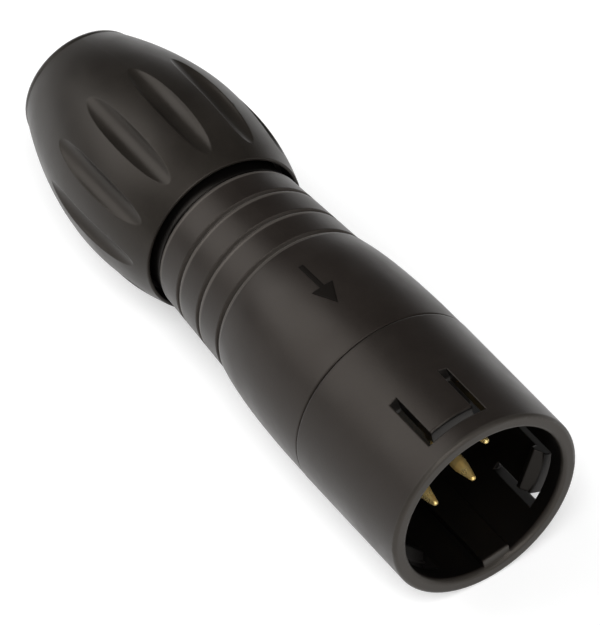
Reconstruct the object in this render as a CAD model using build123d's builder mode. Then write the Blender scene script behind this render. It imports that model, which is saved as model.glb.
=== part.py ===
from build123d import *
from math import asin, cos, degrees, radians, sin, sqrt
import os

os.makedirs("parts", exist_ok=True)

# Sizes are in millimetres. Depths are measured backwards from the mouth of the plug.

# Front sleeve with its snap tongues
sleeve_radius = 8.0
sleeve_wall = 1.1
sleeve_length = 12.5
lip_round = 0.3
tongue_azimuth = -9.0
tongue_spread = 122.0
tongue_width = 3.6
tongue_tip_depth = 2.35
tongue_gap = 0.72
tongue_edge_round = 0.18
slot_width = 0.7
slot_end_depth = 6.3
slot_ramp = 0.5
barb_height = 0.7
barb_land = 0.35
key_width = 2.3
key_height = 0.8
key_inset = 0.3
spigot_step = 0.8
spigot_wall = 1.1
spigot_overlap = 0.5
tab_width = 2.4
tab_length = 0.8
tab_thickness = 0.8

# Contact insert and contacts
insert_setback = 3.1
boss_height = 1.0
face_seal_width = 1.6
lip_thickness = 1.6
flange_step = 0.35
flange_thickness = 2.5
flange_key_width = 1.2
flange_key_height = 0.5
tail_wall = 0.75
insert_tail = 3.0
contact_count = 6
contact_margin = 1.8
contact_radius = 0.57
contact_tip_radius = 0.24
contact_tip_round = 0.2
contact_nose = 1.7
contact_reach = 4.8
contact_shank_radius = 0.78
contact_step = 1.0
contact_cup_reach = 4.0
cup_bore_radius = 0.55
cup_bore_depth = 2.8
cup_cut_length = 2.0
lock_ring_thickness = 2.0
lock_ring_gap = 0.1
lock_notch_width = 1.4
lock_notch_depth = 0.8

# Rear housing
seam_gap = 0.12
seam_step = 0.03
body_length = 12.03
body_sag = 0.17
body_end_slope = -0.24
body_taper = 0.97
neck_length = 8.85
neck_taper = 0.5
ring_count = 4
ring_round = 0.45
groove_floor = 0.14
groove_wall = 0.08
groove_depth = 0.32
collar_step = 0.2
collar_length = 1.85
edge_round = 0.1
thread_step = 0.65
thread_height = 0.2
thread_length = 11.0
chamber_shoulder = 1.05
chamber_length = 3.6
chamber_slope = 1.2
gland_wall = 0.95
gland_bore_length = 10.5
wire_step = 0.6

# Cable gland
backing_thickness = 1.0
backing_step = 1.45
seal_length = 5.0
seal_step = 1.8
seal_rib_count = 3
seal_rib_height = 0.25
cage_collar_length = 4.7
cage_flange_step = 0.25
cage_flange_thickness = 1.0
cage_shoulder = 0.4
cage_tip_wall = 1.1
cage_finger_length = 5.2
cage_finger_count = 8
cage_slot_width = 0.8
cage_spline_count = 4
cage_spline_width = 0.8
cage_spline_height = 0.35

# Clamping nut
nut_gap = 0.85
nut_swell = 0.1
nut_front_wall = 0.84
nut_recess_depth = 2.0
nut_recess_lip = 0.22
nut_lead_in = 0.25
nut_belly_depth = 6.8
nut_shoulder_length = 5.8
nut_shoulder_step = 0.48
nut_rear_wall = 1.95
nut_rear_round = 0.8
nut_relief = 0.4
nut_cage_gap = 0.8
nut_exit_step = 0.05
nut_exit_length = 3.4
nut_exit_round = 0.35
flute_count = 12
flute_depth = 0.62
flute_cut_radius = 1.25
flute_reach = 7.5
flute_tilt = 1.3

# Seals
ring_cord_diameter = 0.6
oring_groove_width = 0.8
oring_groove_depth = 0.58
face_seal_thickness = 0.6

# Fits
running_clearance = 0.06
slip_clearance = 0.05
contact_clearance = 0.02
key_clearance = 0.1

# Radii of the nested pieces, each one measured from the piece around it
sleeve_bore = sleeve_radius - sleeve_wall
spigot_radius = sleeve_radius - spigot_step
spigot_bore = spigot_radius - spigot_wall
flange_radius = spigot_bore - slip_clearance
insert_body_radius = flange_radius - flange_step
face_seal_radius = sleeve_bore - slip_clearance
boss_radius = face_seal_radius - face_seal_width - slip_clearance
contact_circle_radius = boss_radius - contact_margin
insert_tail_radius = contact_circle_radius + contact_shank_radius + tail_wall
lock_ring_bore = insert_tail_radius + lock_ring_gap
housing_front_radius = sleeve_radius - seam_step
body_end_radius = housing_front_radius - body_taper
neck_end_radius = body_end_radius - neck_taper
collar_radius = neck_end_radius - collar_step
thread_radius = neck_end_radius - thread_step
socket_radius = spigot_radius + slip_clearance
chamber_radius = socket_radius - chamber_shoulder
gland_bore_radius = thread_radius - gland_wall
gland_fit_radius = gland_bore_radius - slip_clearance
wire_bore_radius = gland_bore_radius - wire_step
backing_bore_radius = gland_bore_radius - backing_step
seal_bore_radius = gland_bore_radius - seal_step
cage_bore_radius = backing_bore_radius
cage_flange_radius = thread_radius - cage_flange_step
cage_root_radius = cage_flange_radius - cage_shoulder
cage_tip_radius = cage_bore_radius + cage_tip_wall
nut_radius = sleeve_radius + nut_swell
nut_shoulder_radius = nut_radius - nut_shoulder_step
nut_bore_radius = thread_radius + thread_height + running_clearance
nut_front_radius = nut_bore_radius + nut_front_wall
nut_recess_radius = nut_front_radius - nut_recess_lip
nut_exit_radius = cage_bore_radius - nut_exit_step
nut_rear_radius = nut_exit_radius + nut_rear_wall

# Depths along the plug, each one measured from the piece in front of it
insert_face_depth = sleeve_length - insert_setback
shelf_depth = insert_face_depth + boss_height
pocket_depth = shelf_depth + lip_thickness
flange_back = pocket_depth + flange_thickness
insert_back = flange_back + insert_tail
lock_ring_back = flange_back + lock_ring_thickness
spigot_end_depth = lock_ring_back + spigot_overlap
contact_tip_depth = insert_face_depth - contact_reach
contact_step_depth = pocket_depth + contact_step
cup_end_depth = insert_back + contact_cup_reach
housing_front = sleeve_length + seam_gap
body_end_depth = housing_front + body_length
neck_end_depth = body_end_depth + neck_length
ring_pitch = neck_length / (ring_count - 1)
collar_end_depth = neck_end_depth + collar_length
housing_end_depth = neck_end_depth + thread_length
gland_bore_depth = housing_end_depth - gland_bore_length
seal_front = gland_bore_depth + backing_thickness
cage_front = seal_front + seal_length
cage_flange_front = cage_front + cage_collar_length
cage_finger_front = cage_flange_front + cage_flange_thickness
cage_end = cage_finger_front + cage_finger_length
nut_front_depth = neck_end_depth + nut_gap
nut_belly = nut_front_depth + nut_belly_depth
nut_shoulder_depth = nut_belly + nut_shoulder_length
cone_back = cage_end + nut_cage_gap
nut_end_depth = cone_back + nut_exit_length

# The plug rests on the two edges of the nut's lowest flute
flute_centre = nut_radius - flute_depth + flute_cut_radius
flute_edge_height = (nut_radius**2 + flute_centre**2 - flute_cut_radius**2) / (2 * flute_centre)
axis_height = max(sleeve_radius, flute_edge_height)
mouth_x = nut_end_depth / 2

profile_plane = Plane((mouth_x, 0, axis_height), x_dir=(-1, 0, 0), z_dir=(0, 1, 0))
plug_axis = Axis((mouth_x, 0, axis_height), (-1, 0, 0))


def turned(points):
    """Revolve a closed outline of (depth, radius) points about the plug's axis."""
    with BuildPart() as ring:
        with BuildSketch(profile_plane):
            with BuildLine():
                Polyline(*points, close=True)
            make_face()
        revolve(axis=plug_axis)
    return ring.part


def tube(front, back, outer, inner):
    """A plain ring between two depths and two radii."""
    return turned([(front, inner), (front, outer), (back, outer), (back, inner)])


def slab(points, width):
    """A plate with an outline of (depth, radius) points, centred on the plane above the axis."""
    with BuildPart() as plate:
        with BuildSketch(profile_plane):
            with BuildLine():
                Polyline(*points, close=True)
            make_face()
        extrude(amount=width / 2, both=True)
    return plate.part


def bar(front, back, low, high, width):
    """A straight bar along the axis, between two depths and two radii."""
    return slab([(front, low), (front, high), (back, high), (back, low)], width)


def around(shape, count, start=0.0):
    """Evenly spaced copies about the plug's axis, the first turned towards +Y by start degrees."""
    return [shape.rotate(plug_axis, start + k * 360 / count) for k in range(count)]


# Front sleeve: a lip, three snap tongues cut free on three sides, a key rib and a spigot at the back
oring_front = sleeve_length + oring_groove_width
outside = sleeve_radius + 1
barb_root = sleeve_bore + sleeve_wall / 4
barb_top = sleeve_bore - barb_height
slot_offset = (tongue_width + slot_width) / 2
tongue_azimuths = [tongue_azimuth, tongue_azimuth + tongue_spread, tongue_azimuth - tongue_spread]

slot_side = slab(
    [
        (tongue_tip_depth - tongue_gap, barb_top),
        (tongue_tip_depth - tongue_gap, outside),
        (slot_end_depth + slot_ramp, outside),
        (slot_end_depth + slot_ramp, sleeve_radius),
        (slot_end_depth, sleeve_bore),
        (slot_end_depth, barb_top),
    ],
    slot_width,
)
slot_front = bar(
    tongue_tip_depth - tongue_gap, tongue_tip_depth, barb_top, outside, tongue_width + slot_width
)
barb = slab(
    [
        (tongue_tip_depth, barb_root),
        (tongue_tip_depth, sleeve_bore),
        (tongue_tip_depth + barb_height, barb_top),
        (tongue_tip_depth + barb_height + barb_land, barb_top),
        (tongue_tip_depth + barb_height + barb_land + barb_height / 4, barb_root),
    ],
    tongue_width,
)

tip_sector = 2 * degrees(asin(slot_offset / sleeve_radius))
tip_low = sleeve_radius - tongue_edge_round
tip_round_end = tongue_tip_depth + tongue_edge_round
with BuildPart() as tip_rounder:
    with BuildSketch(profile_plane):
        with BuildLine():
            RadiusArc((tongue_tip_depth, tip_low), (tip_round_end, sleeve_radius), tongue_edge_round)
            Polyline(
                (tip_round_end, sleeve_radius),
                (tip_round_end, outside),
                (tongue_tip_depth - slip_clearance, outside),
                (tongue_tip_depth - slip_clearance, tip_low),
                (tongue_tip_depth, tip_low),
            )
        make_face()
    revolve(axis=plug_axis, revolution_arc=tip_sector)

key_rib = bar(key_inset, shelf_depth, sleeve_bore - key_height, barb_root, key_width)
flange_key_low = spigot_bore - flange_key_height
flange_key_high = spigot_bore + slip_clearance
flange_key = bar(pocket_depth, flange_back, flange_key_low, flange_key_high, flange_key_width)
tab_low = chamber_radius + key_clearance
tab_high = tab_low + tab_thickness
tab = bar(spigot_end_depth - tab_length, spigot_end_depth + tab_length, tab_low, tab_high, tab_width)

with BuildPart() as front_sleeve:
    with BuildSketch(profile_plane):
        with BuildLine():
            Polyline(
                (0, sleeve_bore),
                (0, sleeve_radius),
                (sleeve_length, sleeve_radius),
                (sleeve_length, spigot_radius),
                (oring_front, spigot_radius),
                (oring_front, spigot_radius - oring_groove_depth),
                (oring_front + oring_groove_width, spigot_radius - oring_groove_depth),
                (oring_front + oring_groove_width, spigot_radius),
                (spigot_end_depth, spigot_radius),
                (spigot_end_depth, spigot_bore),
                (pocket_depth, spigot_bore),
                (pocket_depth, insert_body_radius + slip_clearance),
                (shelf_depth, insert_body_radius + slip_clearance),
                (shelf_depth, sleeve_bore),
                close=True,
            )
        make_face()
    revolve(axis=plug_axis)
    fillet(front_sleeve.faces().sort_by(Axis.X)[-1].edges(), lip_round)
    for key in (key_rib, flange_key, tab):
        add(key.rotate(plug_axis, tongue_azimuth + 180))
    add([barb.rotate(plug_axis, azimuth) for azimuth in tongue_azimuths])
    for azimuth in tongue_azimuths:
        add(slot_front.rotate(plug_axis, azimuth), mode=Mode.SUBTRACT)
        for side in (-slot_offset, slot_offset):
            slot = slot_side.moved(Location((0, side, 0)))
            add(slot.rotate(plug_axis, azimuth), mode=Mode.SUBTRACT)
        add(tip_rounder.part.rotate(plug_axis, azimuth - tip_sector / 2), mode=Mode.SUBTRACT)

# Contact insert: a boss inside the face seal, a flange behind the sleeve's shelf, stepped contact holes
contact_azimuth = tongue_azimuth + 180 / contact_count


def contact_axis(azimuth):
    """The axis of the contact at this azimuth, starting on the mouth plane."""
    across = contact_circle_radius * sin(radians(azimuth))
    up = contact_circle_radius * cos(radians(azimuth))
    return Axis((mouth_x, across, axis_height + up), (-1, 0, 0))


def contact_hole(azimuth):
    """The stepped hole that a contact passes through."""
    axis = contact_axis(azimuth)
    plane = Plane(axis.position + axis.direction * contact_step_depth, x_dir=(0, 1, 0), z_dir=(-1, 0, 0))
    with BuildPart() as hole:
        with BuildSketch(plane):
            Circle(contact_shank_radius + contact_clearance)
        extrude(amount=insert_back - contact_step_depth)
        with BuildSketch(plane):
            Circle(contact_radius + contact_clearance)
        extrude(amount=insert_face_depth - contact_step_depth)
    return hole.part


contact_azimuths = [contact_azimuth + k * 360 / contact_count for k in range(contact_count)]

with BuildPart() as contact_insert:
    add(
        turned(
            [
                (insert_face_depth, 0),
                (insert_face_depth, boss_radius),
                (shelf_depth, boss_radius),
                (shelf_depth, insert_body_radius),
                (pocket_depth, insert_body_radius),
                (pocket_depth, flange_radius),
                (flange_back, flange_radius),
                (flange_back, insert_tail_radius),
                (insert_back, insert_tail_radius),
                (insert_back, 0),
            ]
        )
    )
    add([contact_hole(azimuth) for azimuth in contact_azimuths], mode=Mode.SUBTRACT)
    flange_notch = bar(
        pocket_depth,
        flange_back,
        flange_key_low - slip_clearance,
        flange_radius + flange_key_height,
        flange_key_width + key_clearance,
    )
    add(flange_notch.rotate(plug_axis, tongue_azimuth + 180), mode=Mode.SUBTRACT)

# Contacts: turned pins with a tapered nose in front and a solder cup behind
contact_tip_bend = contact_tip_round * (1 - sqrt(0.5))
contact_tip_bulge = contact_tip_radius * sqrt(0.5)


def contact_pin(azimuth):
    """One contact: nose, pin, shank and a cup cut open on its outer side."""
    axis = contact_axis(azimuth)
    outward = (axis.position - Vector(mouth_x, 0, axis_height)).normalized()
    plane = Plane(axis.position, x_dir=(-1, 0, 0), z_dir=Vector(-1, 0, 0).cross(outward))
    with BuildPart() as pin:
        with BuildSketch(plane):
            with BuildLine():
                ThreePointArc(
                    (contact_tip_depth, 0),
                    (contact_tip_depth + contact_tip_bend, contact_tip_bulge),
                    (contact_tip_depth + contact_tip_round, contact_tip_radius),
                )
                Polyline(
                    (contact_tip_depth + contact_tip_round, contact_tip_radius),
                    (contact_tip_depth + contact_nose, contact_radius),
                    (contact_step_depth, contact_radius),
                    (contact_step_depth, contact_shank_radius),
                    (cup_end_depth, contact_shank_radius),
                    (cup_end_depth, cup_bore_radius),
                    (cup_end_depth - cup_bore_depth, cup_bore_radius),
                    (cup_end_depth - cup_bore_depth, 0),
                    (contact_tip_depth, 0),
                )
            make_face()
        revolve(axis=axis)
        with BuildSketch(plane):
            with Locations((cup_end_depth, contact_shank_radius)):
                Rectangle(2 * cup_cut_length, 2 * contact_shank_radius)
        extrude(amount=contact_shank_radius, both=True, mode=Mode.SUBTRACT)
    return pin.part


contact_pins = [contact_pin(azimuth) for azimuth in contact_azimuths]

# Lock ring behind the insert's flange, with two notches for a spanner
with BuildPart() as insert_lock_ring:
    add(tube(flange_back, lock_ring_back, flange_radius, lock_ring_bore))
    notch = bar(
        lock_ring_back - lock_notch_depth,
        lock_ring_back + 1,
        lock_ring_bore - 1,
        flange_radius + 1,
        lock_notch_width,
    )
    add(around(notch, 2, tongue_azimuth), mode=Mode.SUBTRACT)

# Face seal on the sleeve's shelf, and the O-ring in the spigot's groove
with BuildPart() as face_seal:
    add(
        tube(
            shelf_depth - face_seal_thickness,
            shelf_depth,
            face_seal_radius,
            face_seal_radius - face_seal_width,
        )
    )
    key_notch = bar(
        0, shelf_depth + 1, sleeve_bore - key_height - slip_clearance, outside, key_width + 2 * key_clearance
    )
    add(key_notch.rotate(plug_axis, tongue_azimuth + 180), mode=Mode.SUBTRACT)

oring_mid_radius = spigot_radius - oring_groove_depth + ring_cord_diameter / 2
with BuildPart() as sleeve_oring:
    with BuildSketch(profile_plane):
        with Locations((oring_front + oring_groove_width / 2, oring_mid_radius)):
            Circle(ring_cord_diameter / 2)
    revolve(axis=plug_axis)

# Rear housing: a smooth body, a neck with turned rings, a collar, the nut's thread and the bores inside
socket_end_depth = spigot_end_depth + slip_clearance
chamber_end_depth = socket_end_depth + chamber_length
chamber_taper = chamber_slope * (chamber_radius - wire_bore_radius)


def neck_radius(depth):
    """Radius of the neck's outer surface, which narrows evenly towards the nut."""
    share = (depth - body_end_depth) / (neck_end_depth - body_end_depth)
    return body_end_radius + share * (neck_end_radius - body_end_radius)


def ring_groove(depth):
    """Cutter for one groove: the ring in front rolls down into it, the ring behind ends in an edge."""
    front = depth - ring_round
    back = depth + groove_floor
    bottom = neck_radius(depth) - groove_depth
    rolled = neck_radius(front) - groove_depth * (1 - sqrt(0.5))
    with BuildPart() as cutter:
        with BuildSketch(profile_plane):
            with BuildLine():
                ThreePointArc(
                    (front, neck_radius(front)), (front + ring_round * sqrt(0.5), rolled), (depth, bottom)
                )
                Polyline(
                    (depth, bottom),
                    (back, bottom),
                    (back + groove_wall, neck_radius(back)),
                    (back + groove_wall, outside),
                    (front, outside),
                    (front, neck_radius(front)),
                )
            make_face()
        revolve(axis=plug_axis)
    return cutter.part


with BuildPart() as rear_housing:
    with BuildSketch(profile_plane):
        with BuildLine():
            Polyline(
                (neck_end_depth, neck_end_radius),
                (neck_end_depth, collar_radius),
                (collar_end_depth, collar_radius),
                (collar_end_depth, thread_radius),
                (housing_end_depth, thread_radius),
                (housing_end_depth, gland_bore_radius),
                (gland_bore_depth, gland_bore_radius),
                (gland_bore_depth, wire_bore_radius),
                (chamber_end_depth + chamber_taper, wire_bore_radius),
                (chamber_end_depth, chamber_radius),
                (socket_end_depth, chamber_radius),
                (socket_end_depth, socket_radius),
                (housing_front, socket_radius),
                (housing_front, housing_front_radius),
            )
            Spline(
                (housing_front, housing_front_radius),
                ((housing_front + body_end_depth) / 2, housing_front_radius - body_sag),
                (body_end_depth, body_end_radius),
                tangents=[(1, 0), (1, body_end_slope)],
            )
            Line((body_end_depth, body_end_radius), (neck_end_depth, neck_end_radius))
        make_face()
    revolve(axis=plug_axis)
    fillet(rear_housing.faces().sort_by(Axis.X)[-1].edges().sort_by(SortBy.RADIUS)[-1], edge_round)
    add([ring_groove(body_end_depth + k * ring_pitch) for k in range(ring_count)], mode=Mode.SUBTRACT)
    tab_notch = bar(
        spigot_end_depth,
        socket_end_depth + tab_length,
        tab_low - 2 * key_clearance,
        tab_high + key_clearance,
        tab_width + key_clearance,
    )
    add(tab_notch.rotate(plug_axis, tongue_azimuth + 180), mode=Mode.SUBTRACT)
    spline_slot = bar(
        gland_bore_depth + backing_thickness + seal_length,
        housing_end_depth + 1,
        wire_bore_radius,
        gland_bore_radius + cage_spline_height + slip_clearance,
        cage_spline_width + 2 * slip_clearance,
    )
    add(around(spline_slot, cage_spline_count), mode=Mode.SUBTRACT)

# Cable gland: backing ring, ribbed seal and a fingered cage that the nut squeezes
with BuildPart() as backing_ring:
    add(tube(gland_bore_depth, seal_front, gland_fit_radius, backing_bore_radius))

rib_pitch = seal_length / seal_rib_count
seal_outline = [(cage_front, gland_fit_radius), (seal_front, gland_fit_radius)]
for k in range(seal_rib_count):
    seal_outline.append((seal_front + k * rib_pitch, seal_bore_radius + seal_rib_height))
    seal_outline.append((seal_front + (k + 0.5) * rib_pitch, seal_bore_radius))
seal_outline.append((cage_front, seal_bore_radius + seal_rib_height))

with BuildPart() as gland_seal:
    add(turned(seal_outline))

with BuildPart() as clamp_cage:
    add(
        turned(
            [
                (cage_front, cage_bore_radius),
                (cage_front, gland_fit_radius),
                (cage_flange_front, gland_fit_radius),
                (cage_flange_front, cage_flange_radius),
                (cage_finger_front, cage_flange_radius),
                (cage_finger_front, cage_root_radius),
                (cage_end, cage_tip_radius),
                (cage_end, cage_bore_radius),
            ]
        )
    )
    cage_spline = bar(
        cage_front,
        cage_flange_front,
        cage_bore_radius + 1,
        gland_bore_radius + cage_spline_height,
        cage_spline_width,
    )
    add(around(cage_spline, cage_spline_count))
    finger_slot = bar(
        cage_finger_front, cage_end + 1, cage_bore_radius - 1, cage_flange_radius, cage_slot_width
    )
    add(around(finger_slot, cage_finger_count), mode=Mode.SUBTRACT)

# Clamping nut: a barrel with scooped flutes, its thread bore, the cone for the cage and the cable exit
cone_slope = (cage_root_radius - cage_tip_radius) / cage_finger_length


def cone_radius(depth):
    """Radius of the nut's cone, which lies just outside the cage's fingers."""
    return cage_root_radius + running_clearance - cone_slope * (depth - cage_finger_front)


with BuildPart() as flute_cutter:
    flute_lift = flute_reach * sin(radians(flute_tilt))
    nose = profile_plane.from_local_coords(Vector(nut_belly - flute_reach, flute_centre - flute_lift))
    tail = profile_plane.from_local_coords(Vector(nut_belly + flute_reach, flute_centre + flute_lift))
    with BuildSketch(Plane(nose, z_dir=tail - nose)):
        Circle(flute_cut_radius)
    extrude(amount=2 * flute_reach)

rear_bend = nut_rear_round * (1 - sqrt(0.5))
exit_bend = nut_exit_round * (1 - sqrt(0.5))
nut_exit_rim = nut_exit_radius + nut_exit_round

with BuildPart() as clamping_nut:
    with BuildSketch(profile_plane):
        with BuildLine():
            Spline(
                (nut_front_depth, nut_front_radius),
                (nut_belly, nut_radius),
                (nut_shoulder_depth, nut_shoulder_radius),
                (nut_end_depth - nut_rear_round, nut_rear_radius),
            )
            ThreePointArc(
                (nut_end_depth - nut_rear_round, nut_rear_radius),
                (nut_end_depth - rear_bend, nut_rear_radius - rear_bend),
                (nut_end_depth, nut_rear_radius - nut_rear_round),
            )
            Line((nut_end_depth, nut_rear_radius - nut_rear_round), (nut_end_depth, nut_exit_rim))
            ThreePointArc(
                (nut_end_depth, nut_exit_rim),
                (nut_end_depth - exit_bend, nut_exit_radius + exit_bend),
                (nut_end_depth - nut_exit_round, nut_exit_radius),
            )
            Polyline(
                (nut_end_depth - nut_exit_round, nut_exit_radius),
                (cone_back, nut_exit_radius),
                (cone_back, cone_radius(cone_back)),
                (cage_finger_front, cone_radius(cage_finger_front)),
                (cage_finger_front, nut_bore_radius - nut_relief),
                (cage_finger_front - nut_relief, nut_bore_radius),
                (nut_front_depth + nut_recess_depth + nut_lead_in, nut_bore_radius),
                (nut_front_depth + nut_recess_depth, nut_bore_radius + nut_lead_in),
                (nut_front_depth + nut_recess_depth, nut_recess_radius),
                (nut_front_depth, nut_recess_radius),
                (nut_front_depth, nut_front_radius),
            )
        make_face()
    revolve(axis=plug_axis)
    add(around(flute_cutter.part, flute_count), mode=Mode.SUBTRACT)

pieces = {
    "front_sleeve": front_sleeve.part,
    "sleeve_oring": sleeve_oring.part,
    "face_seal": face_seal.part,
    "contact_insert": contact_insert.part,
    "insert_lock_ring": insert_lock_ring.part,
    "rear_housing": rear_housing.part,
    "backing_ring": backing_ring.part,
    "gland_seal": gland_seal.part,
    "clamp_cage": clamp_cage.part,
    "clamping_nut": clamping_nut.part,
}
for number, pin in enumerate(contact_pins, 1):
    pieces[f"contact_pin_{number}"] = pin

for name, piece in pieces.items():
    piece.label = name
    export_step(piece, f"parts/{name}.step")
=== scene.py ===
"""Dresses the sealed circular cable plug: moulded shells, gold contacts, rubber seals and light.

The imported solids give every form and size. This script adds the screw thread, the mating
arrow and the finishes, and lights the plug on a white table as a catalogue picture would.
"""

import logging
import math
from collections.abc import Callable
from dataclasses import dataclass, field, replace
from enum import Enum

import bmesh
import bpy
from mathutils import Matrix, Vector


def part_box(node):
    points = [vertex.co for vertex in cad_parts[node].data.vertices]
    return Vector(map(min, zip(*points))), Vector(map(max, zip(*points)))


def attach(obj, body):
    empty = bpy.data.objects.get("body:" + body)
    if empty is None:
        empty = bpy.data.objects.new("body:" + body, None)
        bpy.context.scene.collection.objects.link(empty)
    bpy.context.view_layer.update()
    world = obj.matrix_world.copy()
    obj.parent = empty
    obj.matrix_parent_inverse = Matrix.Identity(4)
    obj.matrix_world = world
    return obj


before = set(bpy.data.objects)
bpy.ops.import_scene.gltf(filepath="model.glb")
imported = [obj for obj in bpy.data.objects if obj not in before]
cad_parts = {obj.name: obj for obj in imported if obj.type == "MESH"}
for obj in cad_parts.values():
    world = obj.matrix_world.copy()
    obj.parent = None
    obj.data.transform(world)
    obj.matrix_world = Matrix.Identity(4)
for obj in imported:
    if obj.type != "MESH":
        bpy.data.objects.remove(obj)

log = logging.getLogger("plug")

MM = 0.001
RING_GROOVES = (24.65 * MM, 27.6 * MM, 30.55 * MM, 33.5 * MM)
COLLAR_END = 35.35 * MM
THREAD_START = 35.9 * MM
THREAD_END = 43.9 * MM
THREAD_PITCH = 1.25 * MM
WHITE = (1.0, 1.0, 1.0, 1.0)
Colour = tuple[float, float, float]
Stretch = tuple[float, float]
Socket = bpy.types.NodeSocket


class Body(Enum):
    """The rigid bodies that the pieces ride on."""

    PLUG = "plug_body"
    CAGE = "cage"
    NUT = "nut"


class Slot(Enum):
    """The record's material slots for the housing and the nut."""

    HOUSING = "housing_plastic"
    NUT = "nut_plastic"


def seen_rays(tree: bpy.types.NodeTree) -> Socket:
    """Marks the rays that show a backdrop: those of the camera, of gloss and of clear pieces.

    Args:
        tree: The node tree to add the test to.

    Returns:
        A socket that is 1 for such rays.
    """
    path = tree.nodes.new("ShaderNodeLightPath")
    seen = path.outputs["Is Camera Ray"]
    for kind in ("Is Glossy Ray", "Is Transmission Ray"):
        either = tree.nodes.new("ShaderNodeMath")
        either.operation = "MAXIMUM"
        tree.links.new(seen, either.inputs[0])
        tree.links.new(path.outputs[kind], either.inputs[1])
        seen = either.outputs[0]
    return seen


class Nodes:
    """A short hand for wiring shader nodes in one material."""

    def __init__(self, name: str) -> None:
        """Starts an empty node tree with its output and a principled shader.

        Args:
            name: The material's name.
        """
        self.material = bpy.data.materials.new(name)
        self.material.use_nodes = True
        self.tree = self.material.node_tree
        self.shader = next(n for n in self.tree.nodes if n.type == "BSDF_PRINCIPLED")
        self.place = self.add("ShaderNodeTexCoord").outputs["Object"]

    def add(self, kind: str, **settings: object) -> bpy.types.Node:
        """Adds a node and sets its properties.

        Args:
            kind: The node's type name.
            settings: Properties to set on the node.

        Returns:
            The new node.
        """
        node = self.tree.nodes.new(kind)
        for key, value in settings.items():
            setattr(node, key, value)
        return node

    def link(self, source: Socket, target: Socket) -> None:
        """Joins an output to an input."""
        self.tree.links.new(source, target)

    def seen(self) -> Socket:
        """Marks the rays that show a backdrop."""
        return seen_rays(self.tree)

    def noise(self, scale: float, detail: float = 2.0, rough: float = 0.5) -> Socket:
        """Adds a noise pattern in metres of the object's own space.

        Args:
            scale: Patches for each metre.
            detail: Octaves of finer noise.
            rough: Share that each finer octave keeps.

        Returns:
            The noise's factor socket.
        """
        node = self.add("ShaderNodeTexNoise")
        node.inputs["Scale"].default_value = scale
        node.inputs["Detail"].default_value = detail
        node.inputs["Roughness"].default_value = rough
        self.link(self.place, node.inputs["Vector"])
        return node.outputs["Fac"]

    def spread(
        self, source: Socket, low: float, high: float, edges: tuple[float, float] = (0.3, 0.7)
    ) -> Socket:
        """Maps a pattern onto a range.

        Args:
            source: The pattern, from 0 to 1.
            low: Result at the first edge.
            high: Result at the second edge.
            edges: The pattern's values at which the result starts and stops changing.

        Returns:
            The mapped socket.
        """
        node = self.add("ShaderNodeMapRange")
        node.inputs["From Min"].default_value = edges[0]
        node.inputs["From Max"].default_value = edges[1]
        node.inputs["To Min"].default_value = low
        node.inputs["To Max"].default_value = high
        self.link(source, node.inputs["Value"])
        return node.outputs["Result"]

    def band(
        self, source: Socket, low: float, high: float, blur: float = 0.05 * MM
    ) -> Socket:
        """Marks where a length lies between two limits.

        Args:
            source: The length.
            low: Smallest length that is marked.
            high: Largest length that is marked.
            blur: Length over which each limit fades.

        Returns:
            A socket that is 1 between the limits and 0 outside.
        """
        both = self.add("ShaderNodeMath", operation="MULTIPLY")
        self.link(self.spread(source, 0.0, 1.0, (low - blur, low)), both.inputs[0])
        self.link(self.spread(source, 1.0, 0.0, (high, high + blur)), both.inputs[1])
        return both.outputs[0]

    def radius(self, axis_z: float) -> Socket:
        """Measures the distance from the plug's axis.

        Args:
            axis_z: Height of the axis.

        Returns:
            The distance's socket, in metres.
        """
        centred = self.add("ShaderNodeVectorMath", operation="SUBTRACT")
        self.link(self.place, centred.inputs[0])
        centred.inputs[1].default_value = (0.0, 0.0, axis_z)
        across = self.add("ShaderNodeVectorMath", operation="MULTIPLY")
        self.link(centred.outputs[0], across.inputs[0])
        across.inputs[1].default_value = (0.0, 1.0, 1.0)
        length = self.add("ShaderNodeVectorMath", operation="LENGTH")
        self.link(across.outputs[0], length.inputs[0])
        return length.outputs["Value"]

    def blend(self, factor: Socket, first: Colour, second: Colour) -> Socket:
        """Mixes two colours by a pattern.

        Args:
            factor: The pattern, 0 for the first colour.
            first: Linear colour at 0.
            second: Linear colour at 1.

        Returns:
            The mixed colour's socket.
        """
        node = self.add("ShaderNodeMix", data_type="RGBA")
        self.link(factor, node.inputs[0])
        node.inputs[6].default_value = (*first, 1.0)
        node.inputs[7].default_value = (*second, 1.0)
        return node.outputs[2]

    def paint_over(self, under: Socket, share: Socket, paint: Colour, blend: str = "MIX") -> Socket:
        """Lays a plain colour over part of another.

        Args:
            under: The colour underneath.
            share: How much of the plain colour shows.
            paint: Linear plain colour.
            blend: The way the two are mixed.

        Returns:
            The mixed colour's socket.
        """
        node = self.add("ShaderNodeMix", data_type="RGBA", blend_type=blend)
        self.link(share, node.inputs[0])
        self.link(under, node.inputs[6])
        node.inputs[7].default_value = (*paint, 1.0)
        return node.outputs[2]

    def settle(self, under: Socket, share: Socket, value: float) -> Socket:
        """Brings a value to a plain one over part of a piece.

        Args:
            under: The value underneath.
            share: How much of the plain value counts.
            value: The plain value.

        Returns:
            The mixed value's socket.
        """
        node = self.add("ShaderNodeMix", data_type="FLOAT")
        self.link(share, node.inputs[0])
        self.link(under, node.inputs[2])
        node.inputs[3].default_value = value
        return node.outputs[0]

    def soft_edges(self, radius: float) -> Socket:
        """Rounds the shading of sharp edges, as a mould leaves them.

        Args:
            radius: The edge's radius in metres.

        Returns:
            The normal's socket.
        """
        node = self.add("ShaderNodeBevel", samples=6)
        node.inputs["Radius"].default_value = radius
        return node.outputs["Normal"]

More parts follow.
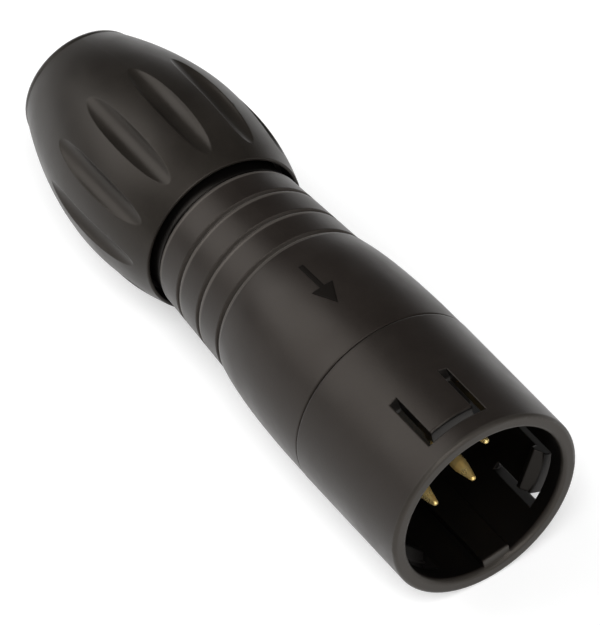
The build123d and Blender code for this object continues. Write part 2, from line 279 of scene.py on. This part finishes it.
    def bump(
        self, height: Socket, depth: float, strength: float, below: Socket | None = None
    ) -> Socket:
        """Adds a bump, on top of an earlier one where that is given.

        Args:
            height: The height pattern.
            depth: The pattern's depth in metres.
            strength: Share of the full effect.
            below: Normal of the bump underneath.

        Returns:
            The normal's socket.
        """
        node = self.add("ShaderNodeBump")
        node.inputs["Distance"].default_value = depth
        node.inputs["Strength"].default_value = strength
        self.link(height, node.inputs["Height"])
        if below is not None:
            self.link(below, node.inputs["Normal"])
        return node.outputs["Normal"]


@dataclass(frozen=True)
class MouldedPlastic:
    """Glass-filled nylon from a spark-eroded mould: a fine grain, faint cloudiness and a soft sheen."""

    name: str
    dark: Colour
    light: Colour
    roughness: float = 0.37
    grain_per_metre: float = 7000.0
    grain_depth: float = 0.012 * MM
    grain_strength: float = 0.35
    cloud_per_metre: float = 260.0
    specular: float = 0.24
    sheen_tint: Colour = (1.0, 0.91, 0.82)
    edge_radius: float = 0.18 * MM
    # Painted highlight: a lighter tone laid on rims and ring edges where light catches them.
    highlight_tone: Colour = (0.026, 0.023, 0.02)
    highlight_depths: tuple[Stretch, ...] = ()
    highlight_blur: float = 0.12 * MM
    # Painted shade: the bore tone darkens hollows and gaps where shade falls, and the roughness there is set apart.
    bore_radii: Stretch | None = None
    bore_depths: Stretch = (0.0, 0.0)
    bore_shade_tone: Colour = (0.0015, 0.0013, 0.0012)
    bore_roughness: float = 0.36
    roughness_spread: float = 0.05
    speckle_per_metre: float = 4200.0
    speckle_share: float = 0.35
    speckle_edges: tuple[float, float] = (0.35, 0.75)
    speckle_shade: Colour = (0.72, 0.72, 0.72)
    thread_edge_radius: float = 0.04 * MM

    def painted_highlight(self, nodes: Nodes, depth: Socket) -> Socket:
        """Marks the rims and ring edges that get a painted highlight, a lighter tone where light catches them.

        Args:
            nodes: The material's nodes.
            depth: Distance behind the mouth plane.

        Returns:
            A socket that is 1 where the highlight is painted.
        """
        total = nodes.band(depth, *self.highlight_depths[0], self.highlight_blur)
        for limits in self.highlight_depths[1:]:
            add = nodes.add("ShaderNodeMath", operation="ADD", use_clamp=True)
            nodes.link(total, add.inputs[0])
            nodes.link(nodes.band(depth, *limits, self.highlight_blur), add.inputs[1])
            total = add.outputs[0]
        return total

    def painted_bore_shade(self, nodes: Nodes, depth: Socket) -> Socket:
        """Marks the hollow walls and gaps that get painted shade, a deeper black where shade falls inside them.

        Args:
            nodes: The material's nodes.
            depth: Distance behind the mouth plane.

        Returns:
            A socket that is 1 on those walls.
        """
        both = nodes.add("ShaderNodeMath", operation="MULTIPLY")
        nodes.link(nodes.band(nodes.radius(PlugLayout().axis_z), *self.bore_radii), both.inputs[0])
        nodes.link(nodes.band(depth, *self.bore_depths), both.inputs[1])
        return both.outputs[0]

    def depth(self, nodes: Nodes) -> Socket:
        """Measures the distance behind the mouth plane.

        Args:
            nodes: The material's nodes.

        Returns:
            The distance's socket, in metres.
        """
        along = nodes.add("ShaderNodeSeparateXYZ")
        nodes.link(nodes.place, along.inputs[0])
        behind = nodes.add("ShaderNodeMath", operation="SUBTRACT")
        behind.inputs[0].default_value = PlugLayout().mouth_x
        nodes.link(along.outputs["X"], behind.inputs[1])
        return behind.outputs[0]

    def crisp(self, name: str) -> "MouldedPlastic":
        """The same plastic on a thread, whose flanks end in sharp edges.

        Args:
            name: The new material's name.

        Returns:
            The finish, without the painted highlights and painted shade of the big moulding.
        """
        return replace(self, name=name, edge_radius=self.thread_edge_radius, highlight_depths=(), bore_radii=None)

    def make(self) -> bpy.types.Material:
        """Builds the material.

        Returns:
            The material.
        """
        nodes = Nodes(self.name)
        cloud = nodes.noise(self.cloud_per_metre, detail=3.0, rough=0.55)
        speckle = nodes.spread(
            nodes.noise(self.speckle_per_metre, detail=1.0), 0.0, self.speckle_share, self.speckle_edges
        )
        tone = nodes.blend(nodes.spread(cloud, 0.0, 1.0), self.dark, self.light)
        colour = nodes.paint_over(tone, speckle, self.speckle_shade, "MULTIPLY")
        sheen = nodes.spread(cloud, self.roughness - self.roughness_spread, self.roughness + self.roughness_spread)
        depth = self.depth(nodes)
        # Painted highlight on rims and ring edges.
        if self.highlight_depths:
            colour = nodes.paint_over(colour, self.painted_highlight(nodes, depth), self.highlight_tone)
        # Painted shade in hollows and gaps, with its own roughness.
        if self.bore_radii is not None:
            shaded = self.painted_bore_shade(nodes, depth)
            colour = nodes.paint_over(colour, shaded, self.bore_shade_tone)
            sheen = nodes.settle(sheen, shaded, self.bore_roughness)
        nodes.link(colour, nodes.shader.inputs["Base Color"])
        nodes.link(sheen, nodes.shader.inputs["Roughness"])
        nodes.shader.inputs["Specular IOR Level"].default_value = self.specular
        nodes.shader.inputs["Specular Tint"].default_value = (*self.sheen_tint, 1.0)
        grain = nodes.bump(
            nodes.noise(self.grain_per_metre, detail=2.0),
            self.grain_depth,
            self.grain_strength,
            nodes.soft_edges(self.edge_radius),
        )
        nodes.link(grain, nodes.shader.inputs["Normal"])
        return nodes.material


@dataclass(frozen=True)
class GoldPlate:
    """Gold-plated brass with a satin face, as a barrel plating bath leaves it."""

    name: str
    bright: Colour = (1.0, 0.78, 0.33)
    deep: Colour = (0.92, 0.64, 0.22)
    sheen: tuple[float, float] = (0.25, 0.38)
    metallic: float = 0.75
    tarnish_per_metre: float = 900.0
    grain_per_metre: float = 9000.0
    grain_depth: float = 0.002 * MM
    grain_strength: float = 0.08

    def make(self) -> bpy.types.Material:
        """Builds the material.

        Returns:
            The material.
        """
        nodes = Nodes(self.name)
        shader = nodes.shader
        shader.inputs["Metallic"].default_value = self.metallic
        tarnish = nodes.noise(self.tarnish_per_metre, detail=2.0)
        nodes.link(nodes.blend(nodes.spread(tarnish, 0.0, 1.0), self.bright, self.deep), shader.inputs["Base Color"])
        nodes.link(nodes.spread(tarnish, *self.sheen), shader.inputs["Roughness"])
        grain = nodes.bump(nodes.noise(self.grain_per_metre), self.grain_depth, self.grain_strength)
        nodes.link(grain, shader.inputs["Normal"])
        return nodes.material


@dataclass(frozen=True)
class SealRubber:
    """Matte black elastomer with a dusty bloom."""

    name: str
    dark: Colour = (0.012, 0.012, 0.012)
    bloom: Colour = (0.03, 0.03, 0.031)
    sheen: tuple[float, float] = (0.67, 0.83)
    dust_per_metre: float = 1500.0
    grain_per_metre: float = 5000.0
    grain_depth: float = 0.01 * MM
    grain_strength: float = 0.4

    def make(self) -> bpy.types.Material:
        """Builds the material.

        Returns:
            The material.
        """
        nodes = Nodes(self.name)
        shader = nodes.shader
        dust = nodes.noise(self.dust_per_metre, detail=4.0, rough=0.6)
        nodes.link(nodes.blend(nodes.spread(dust, 0.0, 1.0), self.dark, self.bloom), shader.inputs["Base Color"])
        nodes.link(nodes.spread(dust, *self.sheen), shader.inputs["Roughness"])
        grain = nodes.bump(nodes.noise(self.grain_per_metre), self.grain_depth, self.grain_strength)
        nodes.link(grain, shader.inputs["Normal"])
        return nodes.material


@dataclass
class PlugLayout:
    """Where the plug's axis and stations lie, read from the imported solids."""

    key_azimuth: float = math.radians(-9.0)
    mouth_x: float = field(init=False)
    axis_z: float = field(init=False)

    def __post_init__(self) -> None:
        """Reads the mouth plane and the axis height."""
        low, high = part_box("front_sleeve")
        self.mouth_x = high.x
        self.axis_z = (low.z + high.z) / 2

    def point(self, depth: float, radius: float, azimuth: float = 0.0) -> Vector:
        """A point at a depth behind the mouth, a radius from the axis and an angle from the top.

        Args:
            depth: Metres behind the mouth plane.
            radius: Metres from the plug's axis.
            azimuth: Radians from straight up, towards +Y.

        Returns:
            The point in the row frame.
        """
        return Vector(
            (
                self.mouth_x - depth,
                radius * math.sin(azimuth),
                self.axis_z + radius * math.cos(azimuth),
            )
        )


class Workpiece:
    """A new mesh that is shaped by edit-mode operators on corners picked by their place."""

    def __init__(self, name: str, centre: Vector, upright: bool = False) -> None:
        """Adds a square of one metre and opens it for work.

        Args:
            name: The piece's name.
            centre: The square's middle in the row frame, about which it is sized.
            upright: Whether the square stands in the plug's axial plane or lies flat.
        """
        self.finish_work()
        turn = (math.pi / 2, 0.0, 0.0) if upright else (0.0, 0.0, 0.0)
        bpy.ops.mesh.primitive_plane_add(size=1.0, location=centre, rotation=turn)
        self.piece = bpy.context.object
        self.piece.name = name
        self.centre = centre
        bpy.ops.object.transform_apply(location=False, rotation=True, scale=True)
        bpy.ops.object.mode_set(mode="EDIT")
        bpy.ops.mesh.select_mode(type="VERT")

    @staticmethod
    def finish_work() -> None:
        """Leaves edit mode with nothing selected."""
        if bpy.context.object is not None and bpy.context.object.mode != "OBJECT":
            bpy.ops.object.mode_set(mode="OBJECT")
        bpy.ops.object.select_all(action="DESELECT")

    def pick(self, wanted: Callable[[Vector], bool]) -> None:
        """Selects the corners that pass a test, with the edges and faces between them.

        Args:
            wanted: The test, given a corner's place relative to the first square's middle.
        """
        mesh = bmesh.from_edit_mesh(self.piece.data)
        for corner in mesh.verts:
            corner.select = wanted(corner.co)
        mesh.select_flush_mode()
        bmesh.update_edit_mesh(self.piece.data)

    def pick_all(self) -> None:
        """Selects everything."""
        bpy.ops.mesh.select_all(action="SELECT")

    def size(self, along: float, across: float, up: float) -> None:
        """Scales what is picked about the first square's middle."""
        bpy.ops.transform.resize(value=(along, across, up), center_override=self.centre)

    def shift(self, by: Vector) -> None:
        """Moves what is picked."""
        bpy.ops.transform.translate(value=by)

    def swing(self, angle: float, about: Vector) -> None:
        """Turns what is picked about a line along the plug.

        Args:
            angle: Radians towards +Y.
            about: A point on the line.
        """
        bpy.ops.transform.rotate(value=angle, orient_axis="X", center_override=about)

    def apply(self, kind: str, **settings: object) -> None:
        """Adds a modifier, sets it and applies it.

        Args:
            kind: The modifier's type.
            settings: Properties to set on it.
        """
        bpy.ops.object.mode_set(mode="OBJECT")
        modifier = self.piece.modifiers.new(kind.lower(), kind)
        for key, value in settings.items():
            setattr(modifier, key, value)
        bpy.ops.object.modifier_apply(modifier=modifier.name)
        bpy.ops.object.mode_set(mode="EDIT")

    def hand_over(self, finish: bpy.types.Material, body: Body, crisp: float = 40.0) -> bpy.types.Object:
        """Closes the piece, paints it and fixes it to its body.

        Args:
            finish: The material to show.
            body: The body that it rides on.
            crisp: Degrees past which an edge stays sharp.

        Returns:
            The finished object.
        """
        bpy.ops.object.mode_set(mode="OBJECT")
        bpy.ops.object.transform_apply(location=True, rotation=True, scale=True)
        bpy.ops.object.shade_smooth_by_angle(angle=math.radians(crisp))
        self.piece.data.materials.append(finish)
        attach(self.piece, body.value)
        self.finish_work()
        log.info("built %s with %d faces", self.piece.name, len(self.piece.data.polygons))
        return self.piece


def dress(node: str, finish: bpy.types.Material) -> None:
    """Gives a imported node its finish.

    Args:
        node: The node's name.
        finish: The material to show.
    """
    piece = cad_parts[node]
    piece.data.materials.clear()
    piece.data.materials.append(finish)
    log.info("dressed %s", node)


@dataclass
class MatingArrow:
    """The raised arrow on the rear housing that shows which way up the plug mates."""

    layout: PlugLayout
    tip_depth: float = 16.7 * MM
    head_length: float = 2.1 * MM
    head_width: float = 1.85 * MM
    stem_length: float = 2.9 * MM
    stem_width: float = 0.4 * MM
    rise: float = 0.06 * MM
    edge: float = 0.03 * MM
    draft_radius: float = 9.0 * MM
    cuts: int = 6

    def build(self, finish: bpy.types.Material) -> bpy.types.Object:
        """Cuts the arrow flat over the housing, lays it on, gives it a wall and turns it into place.

        Args:
            finish: The material to show.

        Returns:
            The arrow's object.
        """
        work = Workpiece("mating_arrow", self.layout.point(self.tip_depth + self.head_length / 2, self.draft_radius))
        work.size(self.head_length, self.head_width, 1.0)
        work.pick(lambda corner: corner.x < 0)
        bpy.ops.mesh.subdivide(number_cuts=2)
        work.pick(lambda corner: corner.x < 0 and abs(corner.y) < self.head_width / 4)
        work.size(1.0, 3 * self.stem_width / self.head_width, 1.0)
        bpy.ops.mesh.extrude_region_move(TRANSFORM_OT_translate={"value": (-self.stem_length, 0.0, 0.0)})
        work.pick(lambda corner: corner.x > 0)
        bpy.ops.mesh.merge(type="CENTER")
        work.pick_all()
        bpy.ops.mesh.quads_convert_to_tris()
        bpy.ops.mesh.subdivide(number_cuts=self.cuts)
        work.apply(
            "SHRINKWRAP",
            target=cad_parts["rear_housing"],
            wrap_method="PROJECT",
            use_project_z=True,
            use_negative_direction=True,
            use_positive_direction=False,
        )
        work.apply("SOLIDIFY", thickness=2 * self.rise, offset=0.0)
        work.apply("BEVEL", width=self.edge, segments=2, limit_method="ANGLE", angle_limit=math.radians(60))
        work.pick_all()
        work.swing(self.layout.key_azimuth, self.layout.point(self.tip_depth, 0.0))
        return work.hand_over(finish, Body.PLUG)


@dataclass
class ScrewThread:
    """A single right-hand thread, wound from its section along the plug's axis and run out at both ends."""

    layout: PlugLayout
    name: str
    body: Body
    slot: Slot
    root_radius: float
    crest_radius: float
    start_depth: float = THREAD_START
    end_depth: float = THREAD_END
    pitch: float = THREAD_PITCH
    root_width: float = 0.85 * MM
    crest_width: float = 0.3 * MM
    steps_per_turn: int = 72
    run_out_steps: int = 9

    def build(self, finish: bpy.types.Material) -> bpy.types.Object:
        """Shapes the section, winds it and runs out its ends.

        Args:
            finish: The material to show.

        Returns:
            The thread's object.
        """
        outward = self.crest_radius > self.root_radius
        middle = (self.root_radius + self.crest_radius) / 2
        turns = (self.end_depth - self.start_depth) / self.pitch
        steps = round(turns * self.steps_per_turn)
        work = Workpiece(self.name, self.layout.point(self.start_depth, 0.0), upright=True)
        work.size(self.root_width, 1.0, abs(self.crest_radius - self.root_radius))
        work.pick(lambda corner: (corner.z > 0) == outward)
        work.size(self.crest_width / self.root_width, 1.0, 1.0)
        work.pick_all()
        work.shift(Vector((0.0, 0.0, middle)))
        bpy.ops.mesh.delete(type="ONLY_FACE")
        work.apply(
            "SCREW",
            axis="X",
            angle=-math.tau * turns,
            screw_offset=-self.pitch * turns,
            steps=steps,
            render_steps=steps,
            iterations=1,
        )
        work.pick_all()
        bpy.ops.mesh.fill_holes(sides=4)
        for step in range(self.run_out_steps):
            sunk = 1.0 - step / self.run_out_steps
            for place in (step, steps - step):
                self.sink(work, place, sunk * (self.root_radius - self.crest_radius))
        work.pick_all()
        bpy.ops.mesh.normals_make_consistent(inside=False)
        return work.hand_over(finish, self.body)

    def sink(self, work: Workpiece, step: int, by: float) -> None:
        """Moves the crest of one wound section towards the root.

        Args:
            work: The wound thread.
            step: The section's number from the start.
            by: Metres outwards, negative towards the axis.
        """
        turn = math.tau * step / self.steps_per_turn
        outwards = Vector((0.0, math.sin(turn), math.cos(turn)))
        back = -self.pitch * step / self.steps_per_turn

        def on_crest(corner: Vector) -> bool:
            """Tells the section's two crest corners from the rest.

            Args:
                corner: A corner's place relative to the section's middle.

            Returns:
                Whether it is one of the two.
            """
            radius = math.hypot(corner.y, corner.z)
            aligned = (corner.y * outwards.y + corner.z * outwards.z) / radius > math.cos(math.pi / self.steps_per_turn)
            near = abs(corner.x - back) < self.pitch / 2
            return aligned and near and abs(radius - self.crest_radius) < abs(radius - self.root_radius)

        work.pick(on_crest)
        work.shift(outwards * by)


@dataclass
class Mouth:
    """The front of the plug: sleeve, insert, contacts and the seals around them."""

    sleeve: MouldedPlastic = MouldedPlastic(
        "sleeve_nylon",
        (0.0122, 0.0098, 0.0084),
        (0.0164, 0.0132, 0.0114),
        # Painted highlight on the lip face where the front light falls; painted shade on the cavity and slot walls.
        highlight_depths=((-1.0 * MM, 0.3 * MM),),
        bore_radii=(6.0 * MM, 7.93 * MM),
        bore_depths=(0.5 * MM, 20.0 * MM),
    )
    insert: MouldedPlastic = MouldedPlastic(
        "insert_black", (0.003, 0.003, 0.003), (0.006, 0.006, 0.006), roughness=0.6
    )
    plating: GoldPlate = GoldPlate("contact_gold")
    rubber: SealRubber = SealRubber("seal_rubber")
    contacts: int = 6

    def build(self) -> None:
        """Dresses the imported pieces."""
        dress("front_sleeve", self.sleeve.make())
        black = self.insert.make()
        for node in ("contact_insert", "insert_lock_ring"):
            dress(node, black)
        seal = self.rubber.make()
        for node in ("face_seal", "sleeve_oring"):
            dress(node, seal)
        gold = self.plating.make()
        for number in range(1, self.contacts + 1):
            dress(f"contact_pin_{number}", gold)


def ring_edge_highlights(front: float = 0.42 * MM, back: float = 0.14 * MM, last_back: float = -0.1 * MM) -> tuple[Stretch, ...]:
    """Lists the stretches at the rings' edges that get a painted highlight, reaching into the grooves.

    Args:
        front: How far each stretch reaches in front of its groove.
        back: How far it reaches behind it.
        last_back: The same at the last groove, where the painted shade of the collar begins.

    Returns:
        Each stretch's least and greatest depth behind the mouth.
    """
    backs = (*(back for _ in RING_GROOVES[:-1]), last_back)
    return tuple((groove - front, groove + reach) for groove, reach in zip(RING_GROOVES, backs))


@dataclass
class RearHousing:
    """The body behind the seam, with its arrow and the thread that the nut runs on."""

    layout: PlugLayout
    plastic: MouldedPlastic = MouldedPlastic(
        "housing_nylon",
        (0.0128, 0.0101, 0.0086),
        (0.0171, 0.0136, 0.0116),
        # Painted highlight on the rounded ring edges; painted shade on the collar in the gap before the nut.
        highlight_tone=(0.06, 0.053, 0.047),
        highlight_depths=ring_edge_highlights(),
        bore_radii=(0.0, 7.0 * MM),
        bore_depths=(RING_GROOVES[-1], COLLAR_END),
    )
    arrow_plastic: MouldedPlastic = MouldedPlastic(
        "arrow_nylon", (0.004, 0.0032, 0.0027), (0.006, 0.0048, 0.0041), roughness=0.6, specular=0.08
    )

    def build(self) -> None:
        """Dresses the housing and adds its arrow and thread."""
        dress("rear_housing", self.plastic.make())
        MatingArrow(self.layout).build(self.arrow_plastic.make())
        ScrewThread(
            self.layout,
            name="housing_thread",
            body=Body.PLUG,
            slot=Slot.HOUSING,
            root_radius=5.8 * MM,
            crest_radius=6.05 * MM,
        ).build(self.plastic.crisp("housing_thread_nylon").make())


@dataclass
class CableGland:
    """What grips and seals the cable inside the housing."""

    plastic: MouldedPlastic = MouldedPlastic(
        "gland_black", (0.008, 0.008, 0.008), (0.014, 0.014, 0.014), roughness=0.5
    )
    rubber: SealRubber = SealRubber("gland_rubber")

    def build(self) -> None:
        """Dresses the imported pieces."""
        black = self.plastic.make()
        for node in ("backing_ring", "clamp_cage"):
            dress(node, black)
        dress("gland_seal", self.rubber.make())


@dataclass
class ClampingNut:
    """The fluted nut, with the thread in its bore."""

    layout: PlugLayout
    plastic: MouldedPlastic = MouldedPlastic(
        "nut_nylon",
        (0.0126, 0.0106, 0.0088),
        (0.017, 0.0144, 0.012),
        # Painted shade in the nut's bore and front recess around the neck.
        bore_radii=(0.0, 6.76 * MM),
        bore_depths=(34.45 * MM, 50.0 * MM),
    )

    def build(self) -> None:
        """Dresses the nut and adds its thread, which lies between the housing's turns."""
        dress("clamping_nut", self.plastic.make())
        ScrewThread(
            self.layout,
            name="nut_thread",
            body=Body.NUT,
            slot=Slot.NUT,
            root_radius=6.16 * MM,
            crest_radius=5.9 * MM,
            start_depth=THREAD_START + 1.5 * THREAD_PITCH,
            end_depth=THREAD_END + 0.5 * THREAD_PITCH,
        ).build(self.plastic.crisp("nut_thread_nylon").make())


@dataclass(frozen=True)
class Softbox:
    """A square lamp with an even face, hung so that it faces the plug."""

    name: str
    towards: tuple[float, float, float]
    distance: float
    size: float
    brightness: float

    def hang(self, aim: Vector) -> None:
        """Adds the lamp.

        Args:
            aim: The point that the lamp faces.
        """
        Workpiece.finish_work()
        place = aim + Vector(self.towards).normalized() * self.distance
        bpy.ops.object.light_add(type="AREA", location=place)
        lamp = bpy.context.object
        lamp.name = self.name
        lamp.data.size = self.size
        lamp.data.energy = self.brightness * math.pi * self.size**2
        lamp.rotation_euler = (place - aim).to_track_quat("Z", "Y").to_euler()


@dataclass
class Studio:
    """The white table, the soft light and the camera at the photograph's angle."""

    camera_place: tuple[float, float, float] = (0.228969, -0.13747, 0.274901)
    aim: tuple[float, float, float] = (0.002232, 0.000756, 0.006527)
    roll: float = math.radians(-3.29)
    focal_pixels: float = 5038.0
    image_pixels: float = 625.0
    table_size: float = 3.0
    near_clip: float = 0.01
    table_colour: Colour = (0.85, 0.85, 0.85)
    table_roughness: float = 0.9
    table_specular: float = 0.1
    table_shown: float = 0.2
    table_glow: float = 2.15
    sky_light: float = 0.2
    sky_low: float = 0.45
    sky_high: float = 0.08
    sky_fade: tuple[float, float] = (0.02, 0.15)
    softboxes: tuple[Softbox, ...] = (
        Softbox("key_softbox", (-0.6, -0.47, 0.65), 0.6, 0.48, 3.1),
        Softbox("top_softbox", (0.42, -0.25, 0.87), 0.6, 0.3, 6.5),
        Softbox("fill_softbox", (0.85, 0.1, 0.42), 0.7, 0.6, 1.3),
        Softbox("low_softbox", (-0.5, -0.85, 0.15), 0.7, 0.3, 1.0),
        Softbox("mouth_softbox", (1.0, -0.35, 0.45), 0.7, 0.25, 6.0),
    )

    def set_table(self) -> None:
        """Lays a white table under the plug, which keeps a faint shadow."""
        Workpiece.finish_work()
        bpy.ops.mesh.primitive_plane_add(size=self.table_size, location=(0.0, 0.0, 0.0))
        table = bpy.context.object
        table.name = "table"
        nodes = Nodes("table_paper")
        nodes.shader.inputs["Roughness"].default_value = self.table_roughness
        nodes.shader.inputs["Specular IOR Level"].default_value = self.table_specular
        nodes.shader.inputs["Base Color"].default_value = (*self.table_colour, 1.0)
        white = nodes.add("ShaderNodeEmission")
        white.inputs["Color"].default_value = WHITE
        white.inputs["Strength"].default_value = self.table_glow
        share = nodes.add("ShaderNodeMath", operation="MULTIPLY")
        nodes.link(nodes.seen(), share.inputs[0])
        share.inputs[1].default_value = self.table_shown
        blend = nodes.add("ShaderNodeMixShader")
        nodes.link(share.outputs[0], blend.inputs[0])
        nodes.link(nodes.shader.outputs[0], blend.inputs[1])
        nodes.link(white.outputs[0], blend.inputs[2])
        out = next(n for n in nodes.tree.nodes if n.type == "OUTPUT_MATERIAL")
        nodes.link(blend.outputs[0], out.inputs["Surface"])
        table.data.materials.append(nodes.material)

    def set_sky(self) -> None:
        """Surrounds the scene: a dim even light, and a white horizon that is seen and mirrored."""
        world = bpy.data.worlds.new("studio_walls")
        bpy.context.scene.world = world
        world.use_nodes = True
        tree = world.node_tree
        sky = next(n for n in tree.nodes if n.type == "BACKGROUND")
        out = next(n for n in tree.nodes if n.type == "OUTPUT_WORLD")
        sky.inputs["Color"].default_value = WHITE
        sky.inputs["Strength"].default_value = self.sky_light
        shown = tree.nodes.new("ShaderNodeBackground")
        shown.inputs["Color"].default_value = WHITE
        direction = tree.nodes.new("ShaderNodeTexCoord")
        height = tree.nodes.new("ShaderNodeSeparateXYZ")
        tree.links.new(direction.outputs["Generated"], height.inputs[0])
        fall = tree.nodes.new("ShaderNodeMapRange")
        fall.inputs["From Min"].default_value = self.sky_fade[0]
        fall.inputs["From Max"].default_value = self.sky_fade[1]
        fall.inputs["To Min"].default_value = self.sky_low
        fall.inputs["To Max"].default_value = self.sky_high
        tree.links.new(height.outputs["Z"], fall.inputs["Value"])
        tree.links.new(fall.outputs["Result"], shown.inputs["Strength"])
        blend = tree.nodes.new("ShaderNodeMixShader")
        tree.links.new(seen_rays(tree), blend.inputs[0])
        tree.links.new(sky.outputs[0], blend.inputs[1])
        tree.links.new(shown.outputs[0], blend.inputs[2])
        tree.links.new(blend.outputs[0], out.inputs["Surface"])

    def set_camera(self) -> None:
        """Puts the camera where the photograph was taken from."""
        Workpiece.finish_work()
        bpy.ops.object.camera_add(location=self.camera_place)
        camera = bpy.context.object
        away = Vector(self.camera_place) - Vector(self.aim)
        level = away.to_track_quat("Z", "Y").to_matrix()
        camera.rotation_euler = (level @ Matrix.Rotation(self.roll, 3, "Z")).to_euler()
        camera.data.lens = self.focal_pixels / self.image_pixels * camera.data.sensor_width
        camera.data.clip_start = self.near_clip
        bpy.context.scene.camera = camera

    def build(self) -> None:
        """Sets the table, the light and the camera."""
        self.set_table()
        self.set_sky()
        for softbox in self.softboxes:
            softbox.hang(Vector(self.aim))
        self.set_camera()
        bpy.context.scene.view_settings.view_transform = "Standard"


def main() -> None:
    """Builds and dresses the plug, then lights it."""
    logging.basicConfig(level=logging.INFO, format="%(message)s")
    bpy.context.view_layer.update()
    layout = PlugLayout()
    for assembly in (Mouth(), RearHousing(layout), CableGland(), ClampingNut(layout)):
        assembly.build()
        log.info("finished %s", type(assembly).__name__)
    Studio().build()


if __name__ == "__main__":
    main()
